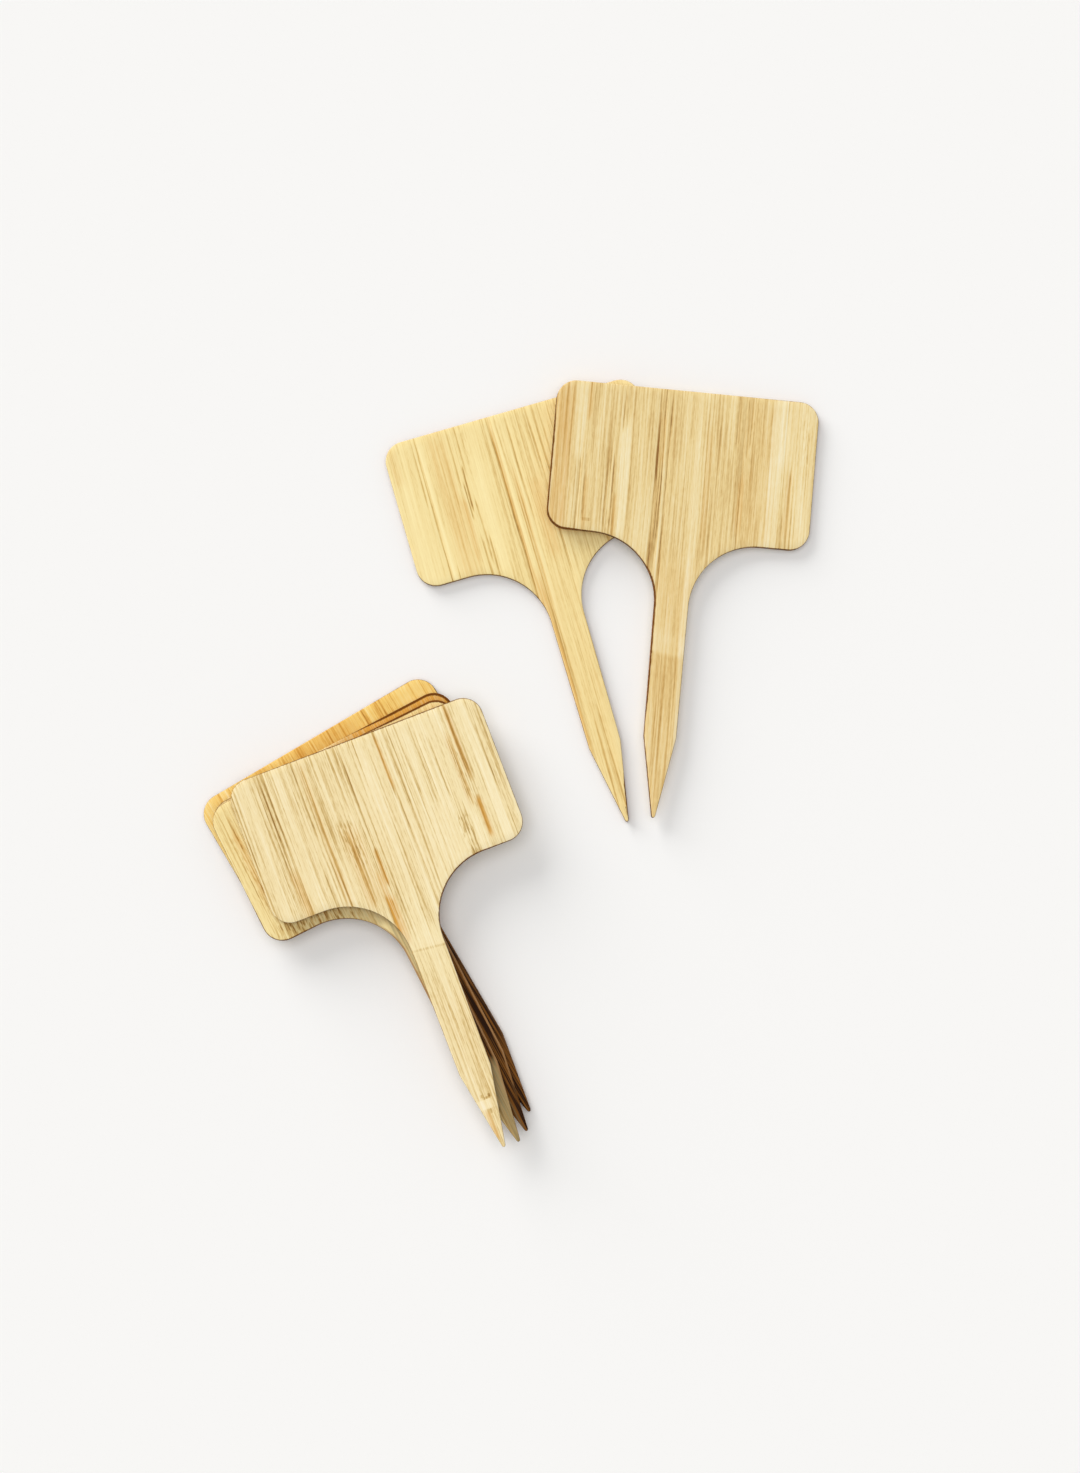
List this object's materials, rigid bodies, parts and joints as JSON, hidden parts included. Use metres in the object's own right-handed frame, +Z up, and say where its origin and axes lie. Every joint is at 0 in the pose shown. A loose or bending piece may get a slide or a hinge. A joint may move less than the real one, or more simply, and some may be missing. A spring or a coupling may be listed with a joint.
{
  "type": "plant label stake",
  "caption": "Flat T-shaped bamboo plant labels with rounded writing boards and pointed stems, cut from edge-glued strips, lying crossed and in a fanned stack.",
  "frame": {"origin": "on the table under the middle of the whole set's box", "axes": "+Z up from the table, +Y from the points towards the boards, +X to the right seen from above"},
  "size_m": [0.1404, 0.1748, 0.008],
  "materials": {
    "pale_bamboo": "dry sanded bamboo, matt, fine fibre streaks along the stem, scorched cut edges",
    "straw_bamboo": "dry sanded bamboo, matt, fine fibre streaks along the stem, scorched cut edges",
    "honey_bamboo": "dry sanded bamboo, matt, brown fibre streaks and a node ring, scorched cut edges",
    "golden_bamboo": "dry sanded bamboo, matt, warm golden tone, scorched cut edges"
  },
  "bodies": {
    "stack_bottom_label": {"stack_bottom_label_left_strip_1": "golden_bamboo", "stack_bottom_label_left_strip_2": "golden_bamboo", "stack_bottom_label_right_strip_1": "golden_bamboo", "stack_bottom_label_stem_strip": "golden_bamboo"},
    "stack_third_label": {"stack_third_label_left_strip_1": "honey_bamboo", "stack_third_label_right_strip_1": "honey_bamboo", "stack_third_label_right_strip_2": "honey_bamboo", "stack_third_label_stem_strip": "honey_bamboo"},
    "stack_second_label": {"stack_second_label_left_strip_1": "straw_bamboo", "stack_second_label_left_strip_2": "straw_bamboo", "stack_second_label_right_strip_1": "straw_bamboo", "stack_second_label_stem_strip": "straw_bamboo"},
    "stack_top_label": {"stack_top_label_left_strip_1": "pale_bamboo", "stack_top_label_left_strip_2": "pale_bamboo", "stack_top_label_right_strip_1": "pale_bamboo", "stack_top_label_stem_strip": "pale_bamboo"},
    "propping_label": {"propping_label_left_strip_1": "straw_bamboo", "propping_label_left_strip_2": "straw_bamboo", "propping_label_right_strip_1": "straw_bamboo", "propping_label_stem_strip": "straw_bamboo"},
    "leaning_label": {"leaning_label_left_strip_1": "honey_bamboo", "leaning_label_left_strip_2": "honey_bamboo", "leaning_label_right_strip_1": "honey_bamboo", "leaning_label_stem_strip": "honey_bamboo"}
  },
  "joints": [
    {"name": "third_label_lift", "type": "slide", "parent": "stack_bottom_label", "child": "stack_third_label", "axis": [0, 0, 1], "range_m": [0, 0.03]},
    {"name": "second_label_lift", "type": "slide", "parent": "stack_third_label", "child": "stack_second_label", "axis": [0, 0, 1], "range_m": [0, 0.03]},
    {"name": "top_label_lift", "type": "slide", "parent": "stack_second_label", "child": "stack_top_label", "axis": [0, 0, 1], "range_m": [0, 0.03]},
    {"name": "propping_label_lift", "type": "slide", "parent": "stack_bottom_label", "child": "propping_label", "axis": [0, 0, 1], "range_m": [0, 0.03]},
    {"name": "leaning_label_lift", "type": "slide", "parent": "propping_label", "child": "leaning_label", "axis": [0, 0, 1], "range_m": [0, 0.03]}
  ]
}
